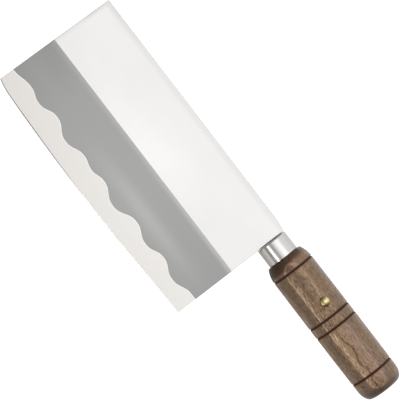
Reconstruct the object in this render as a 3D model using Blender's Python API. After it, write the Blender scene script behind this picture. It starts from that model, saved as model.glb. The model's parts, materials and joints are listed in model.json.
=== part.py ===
"""Japanese cleaver lying on its side.

A wide blade with a hidden tang, a drawn steel ferrule with dark resin in its mouth, a turned
walnut handle with four burnt grooves, and one domed brass rivet through handle and tang.

Units are metres. Each piece is modelled in the knife's own axes: X runs along the handle's axis
from the blade's heel towards the butt, Y from the cutting edge to the spine, and Z out of the
blade's left face. The datum is where the handle's axis meets the heel. The empty that carries
the pieces then lays the knife down as it rests on a table: on the front end of its right bevel
and on the handle's front shoulder, with the left face up.
"""

import math

import bmesh
import bpy
from mathutils import Matrix, Vector

# Fit between neighbouring pieces
GAP = 0.0003

# Blade outline
BLADE_LENGTH = 0.1689
FRONT_LEAN = 0.0024
BLADE_HEIGHT = 0.0816
SPINE_ABOVE_AXIS = 0.0105
SPINE_CLIMB = 0.0006
HEEL_DROP = 0.0012
HEEL_DROP_LENGTH = 0.0100
BELLY_FROM_HEEL = 0.0870
HEEL_RISE = 0.0025
FRONT_RISE = 0.0021
TIP_EASE_LENGTH = 0.0110
TIP_EASE_RISE = 0.0012

# Blade thickness and grind
SPINE_THICKNESS = 0.0020
SPINE_EASE = 0.0003
BEVEL_BELOW_SPINE = 0.0392
EDGE_THICKNESS = 0.0004
EDGE_BEVEL = 0.0006

# Tang
TANG_RELIEF = 0.0001
TANG_BEHIND_RIVET = 0.0148
TANG_END_HEIGHT = 0.0042
TANG_IN_BLADE = 0.0030

# Ferrule and the resin in its mouth
FERRULE_LENGTH = 0.0118
FERRULE_RADIUS = 0.0098
FERRULE_WALL = 0.0008
FERRULE_RIM_ROUND = 0.0004
FILL_RECESS = 0.0008
FILL_DEPTH = 0.0030
TENON_WALL_ABOVE_TANG = 0.0024
TENON_WALL_BELOW_TANG = 0.0029

# Turned handle
HANDLE_LENGTH = 0.0968
HANDLE_END_RADIUS = 0.0136
HANDLE_BULGE = 0.0002
SHOULDER_LENGTH = 0.0083
STEP_ABOVE_FERRULE = 0.0015
BUTT_ROUND_LENGTH = 0.0080
BUTT_ROUND_DEPTH = 0.0042
BUTT_DOME = 0.0007
GROOVE_WIDTH = 0.0011
GROOVE_DEPTH = 0.0005
FRONT_GROOVE_INSET = 0.0085
BUTT_GROOVE_INSET = 0.0136
GROOVE_PAIR_CENTRE = 0.0460
GROOVE_PAIR_SPACING = 0.0066

# Rivet
RIVET_BEHIND_FERRULE = 0.0337
RIVET_SHANK_RADIUS = 0.0015
RIVET_HEAD_RADIUS = 0.0030
RIVET_DOME_HEIGHT = 0.0015
SPOTFACE_MARGIN = 0.0001

# Mesh fineness
BLADE_STATIONS = 48
TURNED_SEGMENTS = 64
RIVET_SEGMENTS = 32
ARC_STEPS = 8
DOME_RINGS = 3
MERGE_DISTANCE = 1e-6
SHARP_ANGLE = math.radians(40)

# Places that follow from the sizes above
FERRULE_FRONT = GAP
FERRULE_BACK = FERRULE_FRONT + FERRULE_LENGTH
FERRULE_BORE = FERRULE_RADIUS - FERRULE_WALL
FILL_FRONT = FERRULE_FRONT + FILL_RECESS
FILL_BACK = FILL_FRONT + FILL_DEPTH
TENON_FRONT = FILL_BACK + GAP
TENON_RADIUS = FERRULE_BORE - GAP
WOOD_FRONT = FERRULE_BACK + GAP
WOOD_BACK = WOOD_FRONT + HANDLE_LENGTH
RIVET_X = WOOD_FRONT + RIVET_BEHIND_FERRULE
TANG_THICKNESS = SPINE_THICKNESS - 2 * TANG_RELIEF
TANG_LENGTH = RIVET_X + TANG_BEHIND_RIVET
HALF_SLOT = TANG_THICKNESS / 2 + GAP
TANG_TOP = math.sqrt((TENON_RADIUS - TENON_WALL_ABOVE_TANG) ** 2 - HALF_SLOT**2) - GAP
TANG_BELOW_AXIS = math.sqrt((TENON_RADIUS - TENON_WALL_BELOW_TANG) ** 2 - HALF_SLOT**2) - GAP
TANG_ROOT_HEIGHT = TANG_TOP + TANG_BELOW_AXIS


def clear_scene():
    for obj in list(bpy.data.objects):
        bpy.data.objects.remove(obj, do_unlink=True)


def make_material(name, colour, roughness, metallic):
    material = bpy.data.materials.new(name)
    material.use_nodes = True
    shader = material.node_tree.nodes["Principled BSDF"]
    shader.inputs["Base Color"].default_value = (*colour, 1.0)
    shader.inputs["Roughness"].default_value = roughness
    shader.inputs["Metallic"].default_value = metallic
    return material


def make_object(name, shape, parent, sharp_angle=None):
    """Turns a bmesh into an object with its faces pointing out, and frees the bmesh."""
    bmesh.ops.recalc_face_normals(shape, faces=shape.faces)
    mesh = bpy.data.meshes.new(name)
    shape.to_mesh(mesh)
    shape.free()
    if sharp_angle is not None:
        mesh.shade_smooth()
        mesh.set_sharp_from_angle(angle=sharp_angle)
    obj = bpy.data.objects.new(name, mesh)
    bpy.context.scene.collection.objects.link(obj)
    obj.parent = parent
    return obj


def make_helper(name, shape, parent):
    """An object that only cuts or joins others."""
    helper = make_object(name, shape, parent)
    helper.hide_render = True
    helper.display_type = "WIRE"
    return helper


def combine(obj, helper, operation):
    boolean = obj.modifiers.new(helper.name, "BOOLEAN")
    boolean.operation = operation
    boolean.solver = "EXACT"
    boolean.object = helper


def turn(profile, axis, segments):
    """Spins a profile of (place along the axis, radius) points about the axis, X or Z."""
    shape = bmesh.new()
    spin_axis = Vector((1, 0, 0)) if axis == "X" else Vector((0, 0, 1))
    away = Vector((0, 0, 1)) if axis == "X" else Vector((1, 0, 0))
    points = [shape.verts.new(spin_axis * along + away * radius) for along, radius in profile]
    edges = [shape.edges.new(pair) for pair in zip(points, points[1:])]
    if profile[0][1] > 0:
        edges.append(shape.edges.new((points[-1], points[0])))
    bmesh.ops.spin(
        shape,
        geom=points + edges,
        cent=(0, 0, 0),
        axis=spin_axis,
        angle=math.tau,
        steps=segments,
        use_merge=True,
    )
    bmesh.ops.remove_doubles(shape, verts=shape.verts, dist=MERGE_DISTANCE)
    return shape


def loft(loops):
    """Skins a row of closed loops that have the same number of points, and caps both ends."""
    shape = bmesh.new()
    rings = [[shape.verts.new(point) for point in loop] for loop in loops]
    for ring, following in zip(rings, rings[1:]):
        for index in range(len(ring)):
            after = (index + 1) % len(ring)
            shape.faces.new((ring[index], ring[after], following[after], following[index]))
    shape.faces.new(rings[0])
    shape.faces.new(rings[-1])
    return shape


def quarter_turns(start, end, steps=ARC_STEPS):
    """Angles from start to end in quarter turns, both ends included."""
    return [math.pi / 2 * (start + (end - start) * step / steps) for step in range(steps + 1)]


def spine_line(x):
    """The straight line that the spine follows, which climbs slightly towards the front."""
    return SPINE_ABOVE_AXIS + SPINE_CLIMB * -x / BLADE_LENGTH


def spine_height(x):
    """The spine with its smooth drop at the heel, to just under the ferrule's top."""
    into_drop = max(0.0, 1 + x / HEEL_DROP_LENGTH)
    return spine_line(x) - HEEL_DROP * into_drop**2


def edge_height(x):
    """The cutting edge: it rises from its belly to the heel and to the front corner."""
    ahead = -x - BELLY_FROM_HEEL
    if ahead < 0:
        rise = HEEL_RISE * (1 - math.cos(math.pi * ahead / BELLY_FROM_HEEL)) / 2
    else:
        rise = FRONT_RISE * (ahead / (BLADE_LENGTH - BELLY_FROM_HEEL)) ** 2
    into_ease = max(0.0, 1 - (BLADE_LENGTH + x) / TIP_EASE_LENGTH)
    return spine_line(x) - BLADE_HEIGHT + rise + TIP_EASE_RISE * into_ease**2


def blade_point(x, y, z):
    """Shears a point forward with its depth, so that the front end leans as the real one."""
    lean = FRONT_LEAN * (spine_line(x) - y) / BLADE_HEIGHT
    return Vector((x * (1 + lean / BLADE_LENGTH), y, z))


def left_face(x):
    """Corners of one cross-section's left side: eased spine, flat cheek, wide bevel, edge bevel."""
    spine = spine_height(x)
    cheek = SPINE_THICKNESS / 2
    return [
        blade_point(x, spine, cheek - SPINE_EASE),
        blade_point(x, spine - SPINE_EASE, cheek),
        blade_point(x, spine_line(x) - BEVEL_BELOW_SPINE, cheek),
        blade_point(x, edge_height(x) + EDGE_BEVEL, EDGE_THICKNESS / 2),
    ]


def mirrored(point):
    """The same point on the other side of the blade's mid-plane."""
    return Vector((point.x, point.y, -point.z))


def blade_section(x):
    """One closed cross-section, from the spine down the left face and back up the right one."""
    left = left_face(x)
    apex = blade_point(x, edge_height(x), 0.0)
    return left + [apex] + [mirrored(point) for point in reversed(left)]


def tang_height(x):
    """Height of the tapering tang at a distance behind the heel."""
    return TANG_ROOT_HEIGHT + (TANG_END_HEIGHT - TANG_ROOT_HEIGHT) * x / TANG_LENGTH


def tang_blank(start, grow):
    """The tang from start to its round end, grown on all sides by grow."""
    straight_end = TANG_LENGTH - TANG_END_HEIGHT / 2
    radius = tang_height(straight_end) / 2
    centre = TANG_TOP - radius
    outline = [(start, TANG_TOP + grow)]
    for angle in quarter_turns(1, -1):
        outline.append(
            (
                straight_end + (radius + grow) * math.cos(angle),
                centre + (radius + grow) * math.sin(angle),
            )
        )
    outline.append((start, TANG_TOP - tang_height(start) - grow))
    half = TANG_THICKNESS / 2 + grow
    return loft([[Vector((x, y, z)) for x, y in outline] for z in (-half, half)])


def ferrule_profile():
    """A sleeve whose outer edge is rounded at both ends."""
    rim = FERRULE_RIM_ROUND
    rounding = [
        (rim * (1 - math.cos(angle)), FERRULE_RADIUS - rim * (1 - math.sin(angle)))
        for angle in quarter_turns(0, 1, ARC_STEPS // 2)
    ]
    front = [(FERRULE_FRONT + inset, radius) for inset, radius in rounding]
    back = [(FERRULE_BACK - inset, radius) for inset, radius in reversed(rounding)]
    return [(FERRULE_FRONT, FERRULE_BORE)] + front + back + [(FERRULE_BACK, FERRULE_BORE)]


def fill_profile():
    return [
        (FILL_FRONT, 0.0),
        (FILL_FRONT, TENON_RADIUS),
        (FILL_BACK, TENON_RADIUS),
        (FILL_BACK, 0.0),
    ]


def barrel_radius(x):
    """Radius of the handle's barrel, which swells slightly at mid-length."""
    from_middle = (x - (WOOD_FRONT + WOOD_BACK) / 2) / (HANDLE_LENGTH / 2)
    return HANDLE_END_RADIUS + HANDLE_BULGE * (1 - from_middle**2)


def shoulder_points():
    """The handle's front shoulder, an arc from the front face that ends along the barrel."""
    points = []
    depth = barrel_radius(WOOD_FRONT) - FERRULE_RADIUS - STEP_ABOVE_FERRULE
    arc_radius = (SHOULDER_LENGTH**2 + depth**2) / (2 * depth)
    sweep = math.asin(SHOULDER_LENGTH / arc_radius)
    for step in range(ARC_STEPS + 1):
        angle = sweep * (1 - step / ARC_STEPS)
        x = WOOD_FRONT + SHOULDER_LENGTH - arc_radius * math.sin(angle)
        points.append((x, barrel_radius(x) - arc_radius * (1 - math.cos(angle))))
    return points


def butt_points():
    """The rounded butt, a quarter ellipse that ends in a shallow dome."""
    points = []
    round_end = WOOD_BACK - BUTT_DOME
    for angle in quarter_turns(1, 0):
        x = round_end - BUTT_ROUND_LENGTH * (1 - math.cos(angle))
        points.append((x, barrel_radius(x) - BUTT_ROUND_DEPTH * (1 - math.sin(angle))))
    face_radius = points[-1][1]
    for ring in reversed(range(DOME_RINGS)):
        share = ring / DOME_RINGS
        points.append((round_end + BUTT_DOME * (1 - share**2), face_radius * share))
    return points


def groove_places():
    return [
        WOOD_FRONT + FRONT_GROOVE_INSET,
        WOOD_FRONT + GROOVE_PAIR_CENTRE - GROOVE_PAIR_SPACING / 2,
        WOOD_FRONT + GROOVE_PAIR_CENTRE + GROOVE_PAIR_SPACING / 2,
        WOOD_BACK - BUTT_GROOVE_INSET,
    ]


def outer_radius(x, outline):
    """Radius of the turned outline at a place along it, read between its points."""
    for (x_before, before), (x_after, after) in zip(outline, outline[1:]):
        if x_before <= x <= x_after and x_after > x_before:
            return before + (after - before) * (x - x_before) / (x_after - x_before)
    return outline[-1][1]


def handle_outline():
    """The turned outline behind the tenon, before the grooves are cut."""
    shoulder = shoulder_points()
    butt = butt_points()
    start = shoulder[-1][0]
    length = butt[0][0] - start
    barrel = []
    for step in range(1, ARC_STEPS):
        x = start + length * step / ARC_STEPS
        barrel.append((x, barrel_radius(x)))
    return shoulder + barrel + butt


def groove_points(place, outline):
    """A round-bottomed groove, as points at the outline's own radius less its depth."""
    points = []
    for angle in quarter_turns(-1, 1, 4):
        x = place + GROOVE_WIDTH / 2 * math.sin(angle)
        points.append((x, outer_radius(x, outline) - GROOVE_DEPTH * math.cos(angle)))
    return points


def handle_profile():
    outline = handle_outline()
    profile = list(outline)
    for place in groove_places():
        profile = [point for point in profile if abs(point[0] - place) > GROOVE_WIDTH / 2]
        profile += groove_points(place, outline)
        profile.sort()
    tenon = [(TENON_FRONT, 0.0), (TENON_FRONT, TENON_RADIUS), (WOOD_FRONT, TENON_RADIUS)]
    return tenon + profile


def rivet_axis_height():
    """The rivet goes through the middle of the tang."""
    return TANG_TOP - tang_height(RIVET_X) / 2


def rivet_seat():
    """Distance from the blade's mid-plane to each spotface, just under the round of the wood."""
    reach = rivet_axis_height() + RIVET_HEAD_RADIUS + GAP
    return math.sqrt(barrel_radius(RIVET_X) ** 2 - reach**2) - SPOTFACE_MARGIN


def rivet_profile():
    """Half the outline of the rivet: shank, head and dome, mirrored for the peened end."""
    head_base = rivet_seat() + GAP
    dome = [
        (head_base + RIVET_DOME_HEIGHT * math.sin(angle), RIVET_HEAD_RADIUS * math.cos(angle))
        for angle in quarter_turns(0, 1)
    ]
    half = [(head_base, RIVET_SHANK_RADIUS)] + dome[:-1] + [(dome[-1][0], 0.0)]
    return [(-along, radius) for along, radius in reversed(half)] + half


def rivet_bore_profile():
    """The stepped hole through the handle: two spotfaces and the shank's clearance hole."""
    outside = HANDLE_END_RADIUS + HANDLE_BULGE + RIVET_DOME_HEIGHT
    half = [
        (rivet_seat(), RIVET_SHANK_RADIUS + GAP),
        (rivet_seat(), RIVET_HEAD_RADIUS + GAP),
        (outside, RIVET_HEAD_RADIUS + GAP),
        (outside, 0.0),
    ]
    return [(-along, radius) for along, radius in reversed(half)] + half


def at_rivet(obj):
    obj.location = (RIVET_X, rivet_axis_height(), 0.0)


def make_blade(parent):
    places = [-BLADE_LENGTH * step / BLADE_STATIONS for step in range(BLADE_STATIONS + 1)]
    blade = make_object("blade", loft([blade_section(x) for x in places]), parent)
    tang = make_helper("tang_blank", tang_blank(-TANG_IN_BLADE, 0.0), parent)
    hole = [
        (-SPINE_THICKNESS, 0.0),
        (-SPINE_THICKNESS, RIVET_SHANK_RADIUS + GAP),
        (SPINE_THICKNESS, RIVET_SHANK_RADIUS + GAP),
        (SPINE_THICKNESS, 0.0),
    ]
    drill = make_helper("tang_drill", turn(hole, "Z", RIVET_SEGMENTS), parent)
    at_rivet(drill)
    combine(blade, tang, "UNION")
    combine(blade, drill, "DIFFERENCE")
    blade.data.materials.append(make_material("blade_steel", (0.78, 0.77, 0.76), 0.25, 1.0))
    return blade


def make_ferrule(parent):
    shape = turn(ferrule_profile(), "X", TURNED_SEGMENTS)
    ferrule = make_object("ferrule", shape, parent, SHARP_ANGLE)
    ferrule.data.materials.append(make_material("ferrule_steel", (0.72, 0.72, 0.71), 0.3, 1.0))
    return ferrule


def make_fill(parent, slot):
    shape = turn(fill_profile(), "X", TURNED_SEGMENTS)
    fill = make_object("ferrule_fill", shape, parent, SHARP_ANGLE)
    combine(fill, slot, "DIFFERENCE")
    fill.data.materials.append(make_material("dark_resin", (0.02, 0.018, 0.016), 0.6, 0.0))
    return fill


def make_handle(parent, slot):
    shape = turn(handle_profile(), "X", TURNED_SEGMENTS)
    handle = make_object("handle", shape, parent, SHARP_ANGLE)
    bore_shape = turn(rivet_bore_profile(), "Z", RIVET_SEGMENTS)
    bore = make_helper("rivet_bore", bore_shape, parent)
    at_rivet(bore)
    combine(handle, slot, "DIFFERENCE")
    combine(handle, bore, "DIFFERENCE")
    handle.data.materials.append(make_material("walnut", (0.22, 0.145, 0.10), 0.5, 0.0))
    return handle


def make_rivet(parent):
    shape = turn(rivet_profile(), "Z", RIVET_SEGMENTS)
    rivet = make_object("rivet", shape, parent, SHARP_ANGLE)
    at_rivet(rivet)
    rivet.data.materials.append(make_material("brass", (0.75, 0.58, 0.22), 0.25, 1.0))
    return rivet


def resting_rotation():
    """Rotation that makes level the plane that the knife rests on, with its right face down.

    The plane holds the front end of the right bevel and touches the handle's front shoulder.
    """
    bevel_front, edge_front = [mirrored(point) for point in left_face(-BLADE_LENGTH)[2:]]
    hinge = (bevel_front - edge_front).normalized()
    arms = []
    for x, radius in handle_profile():
        for angle in quarter_turns(-1, 1, TURNED_SEGMENTS):
            underside = Vector((x, radius * math.sin(angle), -radius * math.cos(angle)))
            arm = underside - bevel_front
            arms.append(arm - arm.dot(hinge) * hinge)
    steepest = max(arms, key=lambda arm: -arm.z / arm.xy.length)
    up = steepest.cross(hinge).normalized()
    along = Vector((1, 0, 0))
    along = (along - along.dot(up) * up).normalized()
    return Matrix((along, up.cross(along), up)).to_4x4()


def world_corners(pieces):
    """Lowest and highest corners of the pieces as they lie."""
    bpy.context.view_layer.update()
    graph = bpy.context.evaluated_depsgraph_get()
    points = []
    for piece in pieces:
        evaluated = piece.evaluated_get(graph)
        points += [evaluated.matrix_world @ vertex.co for vertex in evaluated.data.vertices]
    low = [min(point[axis] for point in points) for axis in range(3)]
    high = [max(point[axis] for point in points) for axis in range(3)]
    return low, high


def lay_down(carrier, pieces):
    """Rests the knife on the plane Z = 0, with the origin under the middle of its box."""
    rotation = resting_rotation()
    carrier.matrix_world = rotation
    low, high = world_corners(pieces)
    middle = Vector(((low[0] + high[0]) / 2, (low[1] + high[1]) / 2, low[2]))
    carrier.matrix_world = Matrix.Translation(-middle) @ rotation


def main():
    clear_scene()
    carrier = bpy.data.objects.new("knife_axes", None)
    bpy.context.scene.collection.objects.link(carrier)
    slot = make_helper("tang_slot", tang_blank(-TANG_IN_BLADE, GAP), carrier)
    pieces = [
        make_blade(carrier),
        make_ferrule(carrier),
        make_fill(carrier, slot),
        make_handle(carrier, slot),
        make_rivet(carrier),
    ]
    lay_down(carrier, pieces)


main()
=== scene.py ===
"""Looks of the japanese cleaver: its finishes, fine shapes, studio light and camera.

Lengths are metres, and places within a material are millimetres. Each piece is shaped in the
knife's own axes: X along the handle's axis from the blade's heel to the butt, Y from the
cutting edge to the spine, and Z out of the left face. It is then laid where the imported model
lies.
"""

import json
import math

import bmesh
import bpy
from mathutils import Matrix, Vector, noise


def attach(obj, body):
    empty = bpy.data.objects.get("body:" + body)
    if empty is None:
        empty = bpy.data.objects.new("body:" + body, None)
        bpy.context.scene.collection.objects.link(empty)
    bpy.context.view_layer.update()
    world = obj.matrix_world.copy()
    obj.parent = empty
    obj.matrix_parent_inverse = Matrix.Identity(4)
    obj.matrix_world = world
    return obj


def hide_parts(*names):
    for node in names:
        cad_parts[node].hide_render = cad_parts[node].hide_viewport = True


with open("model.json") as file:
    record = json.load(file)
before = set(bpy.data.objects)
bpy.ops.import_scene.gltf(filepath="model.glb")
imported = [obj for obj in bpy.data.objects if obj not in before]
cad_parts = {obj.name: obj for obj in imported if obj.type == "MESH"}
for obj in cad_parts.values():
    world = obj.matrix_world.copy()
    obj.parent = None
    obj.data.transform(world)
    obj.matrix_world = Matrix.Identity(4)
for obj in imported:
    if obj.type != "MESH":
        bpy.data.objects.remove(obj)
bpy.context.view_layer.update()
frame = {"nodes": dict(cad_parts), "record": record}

# Where the mounts lie, in the knife's own axes
MOUNT_PLACE = (-0.0850, -0.0080, 0.0)

# Blade outline
BLADE_LENGTH = 0.1689
FRONT_LEAN = 0.0024
BLADE_HEIGHT = 0.0816
SPINE_ABOVE_AXIS = 0.0105
SPINE_CLIMB = 0.0006
HEEL_DROP = 0.0012
HEEL_DROP_LENGTH = 0.0100
BELLY_FROM_HEEL = 0.0870
HEEL_RISE = 0.0025
FRONT_RISE = 0.0021
TIP_EASE_LENGTH = 0.0110
TIP_EASE_RISE = 0.0012

# Blade thickness and grind
SPINE_THICKNESS = 0.0020
SPINE_EASE = 0.0003
END_EASE = 0.0002
BEVEL_BELOW_SPINE = 0.0392
BEVEL_SOFTNESS = 0.0002
EDGE_THICKNESS = 0.0004
EDGE_BEVEL = 0.0006

# Glow below the bevel line, shade above the wave and halo below it, in metres
BEVEL_GLOW_WIDTH = 0.0040
WAVE_SHADE_WIDTH = 0.0007
HALO_SPAN = (-0.0009, -0.0001)

# Heights of the front end's two corners and the front of the blade's tones, in millimetres
FRONT_END_HEIGHTS = (11.0, -70.6)
BLADE_FRONT = -172.0

# Lower border of the matt band: the turns of its wave, from the front end to the heel
WAVE_TURNS = (
    (-0.1709, -0.0577),
    (-0.1565, -0.0556),
    (-0.1461, -0.0579),
    (-0.1332, -0.0543),
    (-0.1190, -0.0591),
    (-0.1056, -0.0556),
    (-0.0964, -0.0573),
    (-0.0874, -0.0555),
    (-0.0723, -0.0602),
    (-0.0567, -0.0550),
    (-0.0431, -0.0587),
    (-0.0306, -0.0552),
    (-0.0175, -0.0590),
    (-0.0036, -0.0554),
)
WAVE_EASE = 0.0006

# Brightness of the matt band, from the front end, 0, to the heel, 1
BAND_TONES = (
    (0.0, 0.385),
    (0.22, 0.456),
    (0.45, 0.468),
    (0.60, 0.473),
    (0.80, 0.444),
    (1.0, 0.411),
)

# Brightness of the honed edge, from the front end, 0, to the heel, 1
EDGE_TONES = (
    (0.0, 0.62),
    (0.05, 0.46),
    (0.14, 0.30),
    (0.24, 0.31),
    (0.34, 0.36),
    (0.42, 0.49),
    (0.50, 0.66),
    (0.60, 0.48),
    (0.67, 0.38),
    (0.80, 0.34),
    (0.90, 0.36),
    (1.0, 0.38),
)

# Colours of the metals and of the resin's dust
CHEEK_STEEL = (0.757, 0.743, 0.731, 1.0)
# Painted shade: the cheek's steel darkens towards the spine, in two steps
CHEEK_TOP_SHADE_STEEL = (0.690, 0.676, 0.664, 1.0)
CHEEK_BRIGHT_STEEL = (0.825, 0.811, 0.806, 1.0)
CHEEK_SPINE_SHADE_STEEL = (0.570, 0.558, 0.548, 1.0)
WAVE_SHADE_STEEL = (0.320, 0.290, 0.260, 1.0)
STRIP_FRONT_STEEL = (0.780, 0.754, 0.722, 1.0)
STRIP_REAR_STEEL = (0.840, 0.818, 0.789, 1.0)
FERRULE_DARK_STEEL = (0.575, 0.567, 0.555, 1.0)
FERRULE_LIGHT_STEEL = (0.650, 0.640, 0.628, 1.0)
RESIN_DUST = (0.035, 0.030, 0.026, 1.0)
DULL_BRASS = (0.50, 0.39, 0.16, 1.0)
BRIGHT_BRASS = (0.80, 0.71, 0.38, 1.0)
# Painted shade of the rivet's dome
SHADED_BRASS = (0.30, 0.23, 0.12, 1.0)
# Painted reflection at the rivet's rim
RIM_REFLECTION_BRASS = (0.86, 0.70, 0.44, 1.0)

# Depth of the marks that each surface's bump stands for
POLISH_MARKS = 0.000002
MATT_GRAIN = 0.000004
HONING_MARKS = 0.000003
GRINDING_MARKS = 0.000004
DRAWING_MARKS = 0.000003
RESIN_LUMPS = 0.00008
BRASS_DENTS = 0.00012
WOOD_RELIEF = 0.00020
VARNISH_RELIEF = 0.00026

# Tang
TANG_THICKNESS = 0.0018
TANG_TOP = 0.0059
TANG_BOTTOM = -0.0054
TANG_END_HEIGHT = 0.0042
TANG_IN_BLADE = 0.0030
TANG_BEHIND_RIVET = 0.0148

# Turned pieces
FERRULE_RIM_ROUND = 0.0004
FERRULE_BORE_EASE = 0.0002
HANDLE_END_RADIUS = 0.0136
HANDLE_BULGE = 0.0002
SHOULDER_LENGTH = 0.0083
SHOULDER_FRONT_RADIUS = 0.0113
FRONT_FACE_EASE = 0.0003
BUTT_ROUND_LENGTH = 0.0080
BUTT_ROUND_DEPTH = 0.0042
BUTT_DOME = 0.0007
GROOVE_WIDTH = 0.0011
GROOVE_DEPTH = 0.0005
GROOVE_LIP = 0.0002
FRONT_GROOVE_INSET = 0.0085
BUTT_GROOVE_INSET = 0.0136
GROOVE_PAIR_CENTRE = 0.0460
GROOVE_PAIR_SPACING = 0.0066

# Resin in the ferrule's mouth
MENISCUS = 0.00015

# Rivet
RIVET_SHANK_RADIUS = 0.0015
RIVET_CLEARANCE = 0.00008
RIVET_HOLE_RADIUS = RIVET_SHANK_RADIUS + RIVET_CLEARANCE
PEENING_DEPTH = 0.00006
PEENING_SIZE = 0.0016

# Mesh fineness
BLADE_COLUMN = 0.0006
CHEEK_ROWS = 6
BAND_ROWS = 6
STRIP_ROWS = 4
EASE_STEPS = 6
END_EASE_STEPS = 3
WAVE_ROUNDS = 4
TURNED_SEGMENTS = 160
RIVET_SEGMENTS = 64
ARC_STEPS = 16
FACE_EASE_STEPS = 4
SHOULDER_STEPS = 24
DOME_STEPS = 12
PROFILE_STEP = 0.0015
FACET_TOLERANCE = 1e-5

# Edges that turn by more than this many degrees stay sharp
SHARP_BLADE = 16
SHARP_TURNED = 40
SHARP_RIVET = 50

# Millimetres in a metre, and the range that noise mostly fills
MM = 1000.0
NOISE_RANGE = (0.3, 0.7)

# The camera, as it stands over the left face in the knife's own axes
CAMERA_OVER = (-0.0442, -0.0181)
CAMERA_DISTANCE = 1.2
CAMERA_TURN = 52.35
FIELD_WIDTH = 0.2330
SENSOR_WIDTH = 36.0
CAMERA_CLIP = (0.05, 20.0)

# Brightness of the studio round the knife's long axis: degrees from overhead, towards the spine
SKY = (
    (-180, 0.60),
    (-95, 0.90),
    (-82, 0.98),
    (-76, 0.62),
    (-70, 0.31),
    (-60, 0.27),
    (-50, 0.40),
    (-28, 0.52),
    (-17, 0.50),
    (-10, 0.63),
    (-5, 1.12),
    (0, 1.25),
    (4, 1.27),
    (11, 1.45),
    (22, 1.70),
    (38, 1.65),
    (46, 1.28),
    (54, 1.10),
    (62, 1.08),
    (80, 1.08),
    (180, 1.05),
)
ENDS_BRIGHTNESS = 0.25
ENDS_SPAN = (0.15, 0.85)

# The room is warmer on the edge side, beyond this angle
WARM_FROM = -45
WARM_TINT = (1.0, 0.95, 0.88)

# The sheet under the knife: its size, its paper, and how it glows under the knife and beside it,
# dimmer near the knife as a painted shadow
SHEET_HALF_SIZE = 4.0
SHEET_PAPER = 0.40
SHEET_GLOW_IN_KNIFE_SHADOW = 0.26
SHEET_GLOW_EDGE_SIDE = 0.44
SHEET_GLOW_SPINE_SIDE = 0.62
SHEET_EDGE_SPAN = (0.0, -0.08)
SHEET_SPINE_SPAN = (0.005, 0.045)

# The long soft light over the handle's edge side
STRIP_LENGTH = 0.60
STRIP_WIDTH = 0.10
STRIP_START = -0.11
STRIP_ANGLE = -41.5
STRIP_DISTANCE = 1.0
STRIP_RADIANCE = 9.5
STRIP_TINT = (1.0, 0.98, 0.94)

# Growth of the wood, with its stains and with painted shade and a painted highlight, in millimetres
# along the knife's own axes
PITH_ACROSS = 2.6
PITH_BELOW = 48.0
RING_BORDER = 61.0
RING_SPACING = 2.1
RING_WANDER = 0.5
BORDER_HALF_WIDTH = 0.30
FIBRE_SWAY = 1.2
# Height of a painted shade along the handle's edge side
SHADED_SIDE = -9.4
PALE_CORE = 2.2
PALE_REAR = 60.0
# Height of a pale streak of the wood, brightened further as a painted highlight under the strip
# light's reflection
PALE_HIGHLIGHT_STREAK = -4.8
PINK_STREAK = 4.2
# Reach of the shoulder's darkening, part stain and part painted shade, on the spine side and on the
# edge side
FRONT_STAIN_AND_SHADE = (3.1, 6.2)
# Reach of the butt's darkening, part stain and part painted shade, on the spine side and on the edge
# side
BUTT_STAIN_AND_SHADE = (3.0, 7.0)

# Patches of the wood: place along it, height, half the length, half the height and strength
TAN_PATCH = (76.8, -2.2, 8.0, 2.3, 0.80)
DARK_PATCH = (18.0, -2.4, 5.0, 3.0, 0.65)
DARK_STREAK = (34.0, -1.6, 24.0, 2.6, 0.45)
FAINT_PATCH = (26.0, 0.2, 8.0, 3.2, 0.55)
PALE_PATCH = (37.0, 3.6, 18.0, 1.5, 0.75)
RED_PATCH = (17.5, -3.0, 4.0, 5.0, 0.45)
BUTT_PATCH = (103.0, 6.3, 6.0, 2.6, 0.50)

# A dark line that meanders along the rear of the handle: places along it and heights
DARK_LINE_SPAN = (60.0, 110.0)
DARK_LINE_HEIGHTS = (-4.0, 0.0)
DARK_LINE_HALF_WIDTH = 1.1
DARK_LINE_TURNS = (
    (64.0, -2.3),
    (70.0, -2.3),
    (76.5, -0.3),
    (79.0, -0.7),
    (83.0, -1.6),
    (86.0, -2.6),
    (88.0, -2.6),
    (91.0, -0.7),
    (95.0, -1.3),
    (99.0, -2.8),
    (104.0, -2.0),
)


def knife_matrix():
    """The knife's own axes in the frame, read from the mounts on the blade's two cheeks."""
    mounts = {mount["name"]: mount for mount in frame["record"]["mounts"]}
    left = mounts["left_cheek"]
    right = mounts["right_cheek"]
    z_axis = Vector(left["axis"]).normalized()
    x_axis = Vector((z_axis.z, 0.0, -z_axis.x)).normalized()
    y_axis = z_axis.cross(x_axis)
    rotation = Matrix((x_axis, y_axis, z_axis)).transposed()
    between = (Vector(left["pos_m"]) + Vector(right["pos_m"])) / 2
    datum = between - rotation @ Vector(MOUNT_PLACE)
    return Matrix.Translation(datum) @ rotation.to_4x4()


KNIFE = knife_matrix()


def node_points(node):
    """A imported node's points in the knife's own axes."""
    to_knife = KNIFE.inverted()
    return [to_knife @ vertex.co for vertex in frame["nodes"][node].data.vertices]


def turned_size(node):
    """Front, back, least and greatest radius of a node that is turned about the handle's axis."""
    points = node_points(node)
    along = [point.x for point in points]
    radii = [math.hypot(point.y, point.z) for point in points]
    return min(along), max(along), min(radii), max(radii)


FERRULE_FRONT, FERRULE_BACK, FERRULE_BORE, FERRULE_RADIUS = turned_size("ferrule")
FILL_FRONT, FILL_BACK, _, TENON_RADIUS = turned_size("ferrule_fill")
TENON_FRONT, WOOD_BACK, _, _ = turned_size("handle")
WOOD_GAP = TENON_FRONT - FILL_BACK
WOOD_FRONT = FERRULE_BACK + WOOD_GAP
HANDLE_LENGTH = WOOD_BACK - WOOD_FRONT

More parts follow.
